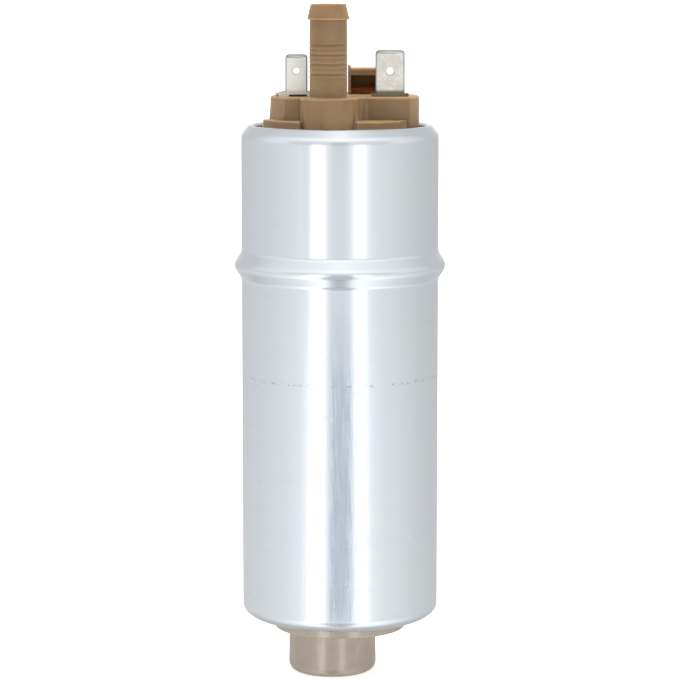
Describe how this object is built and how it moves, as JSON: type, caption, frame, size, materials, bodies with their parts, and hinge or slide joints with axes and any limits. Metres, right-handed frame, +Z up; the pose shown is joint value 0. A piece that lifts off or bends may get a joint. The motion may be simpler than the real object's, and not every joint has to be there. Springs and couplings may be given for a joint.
{
  "type": "electric fuel pump",
  "caption": "In-tank electric fuel pump: round metal can with a bead, moulded cover with barbed outlet and two blade terminals, gear pumping section inside.",
  "frame": {"origin": "on the can's axis, in the plane of the inlet neck's foot", "axes": "+Z up the can's axis towards the outlet, -Y towards the side that the terminals' flats and the nozzle face"},
  "size_m": [0.046, 0.046, 0.1475],
  "materials": {
    "can_metal": "bright zinc plate, satin",
    "inlet_plastic": "moulded, satin",
    "cover_plastic": "moulded, satin",
    "terminal_tin": "tin plated, satin",
    "seal_rubber": "matte",
    "pump_aluminium": "machined",
    "rotor_steel": "sintered, ground faces",
    "bushing_bronze": "sintered, oiled",
    "flux_steel": "rolled",
    "magnet_ferrite": "matte",
    "spring_steel": "drawn",
    "shaft_steel": "ground",
    "motor_plastic": "moulded",
    "winding_copper": "enamelled",
    "commutator_resin": "moulded",
    "brush_carbon": "matte",
    "valve_brass": "turned",
    "valve_plastic": "moulded"
  },
  "bodies": {
    "pump_body": {"can_shell": "can_metal", "inlet_cover": "inlet_plastic", "inlet_seal": "seal_rubber", "rotor_ring": "pump_aluminium", "port_plate": "pump_aluminium", "pump_dowels": "shaft_steel", "lower_bushing": "bushing_bronze", "flux_tube": "flux_steel", "magnet_left": "magnet_ferrite", "magnet_right": "magnet_ferrite", "magnet_clips": "spring_steel", "lower_thrust_washer": "bushing_bronze", "upper_thrust_washer": "bushing_bronze", "upper_bushing": "bushing_bronze", "outlet_cover": "cover_plastic", "cover_seal": "seal_rubber", "wide_terminal": "terminal_tin", "narrow_terminal": "terminal_tin", "wide_choke_core": "magnet_ferrite", "narrow_choke_core": "magnet_ferrite", "wide_choke_coil": "winding_copper", "narrow_choke_coil": "winding_copper", "wide_brush_spring": "spring_steel", "narrow_brush_spring": "spring_steel", "wide_brush_lead": "winding_copper", "narrow_brush_lead": "winding_copper", "check_valve_seat": "valve_brass", "check_valve_spring": "spring_steel", "relief_valve_spring": "spring_steel", "relief_valve_plug": "valve_brass"},
    "armature": {"shaft": "shaft_steel", "shaft_spacer": "motor_plastic", "lower_insulator": "motor_plastic", "armature_core": "flux_steel", "armature_winding": "winding_copper", "upper_insulator": "motor_plastic", "commutator_hub": "commutator_resin", "commutator_segments": "winding_copper", "inner_rotor": "rotor_steel"},
    "outer_rotor": {"outer_rotor": "rotor_steel"},
    "wide_brush": {"wide_brush": "brush_carbon"},
    "narrow_brush": {"narrow_brush": "brush_carbon"},
    "check_valve": {"check_valve_poppet": "valve_plastic"},
    "relief_valve": {"relief_valve_ball": "shaft_steel"}
  },
  "joints": [
    {"name": "armature_spin", "type": "hinge", "parent": "pump_body", "child": "armature", "pos_m": [0, 0, 0.06], "axis": [0, 0, 1], "continuous": true},
    {"name": "outer_rotor_spin", "type": "hinge", "parent": "pump_body", "child": "outer_rotor", "pos_m": [-0.001, 0, 0.0223], "axis": [0, 0, 1], "continuous": true},
    {"name": "wide_brush_slide", "type": "slide", "parent": "pump_body", "child": "wide_brush", "axis": [0, 0, 1], "range_m": [0, 0.002], "stiffness_N_per_m": 300, "deforming": ["wide_brush_spring", "wide_brush_lead"]},
    {"name": "narrow_brush_slide", "type": "slide", "parent": "pump_body", "child": "narrow_brush", "axis": [0, 0, 1], "range_m": [0, 0.002], "stiffness_N_per_m": 300, "deforming": ["narrow_brush_spring", "narrow_brush_lead"]},
    {"name": "check_valve_lift", "type": "slide", "parent": "pump_body", "child": "check_valve", "axis": [0, 0, 1], "range_m": [0, 0.002], "stiffness_N_per_m": 150, "deforming": ["check_valve_spring"]},
    {"name": "relief_valve_lift", "type": "slide", "parent": "pump_body", "child": "relief_valve", "axis": [0, 0, 1], "range_m": [0, 0.0015], "stiffness_N_per_m": 600, "deforming": ["relief_valve_spring"]}
  ],
  "couplings": [
    {"joint": "outer_rotor_spin", "follows": "armature_spin", "ratio": 0.85714}
  ]
}
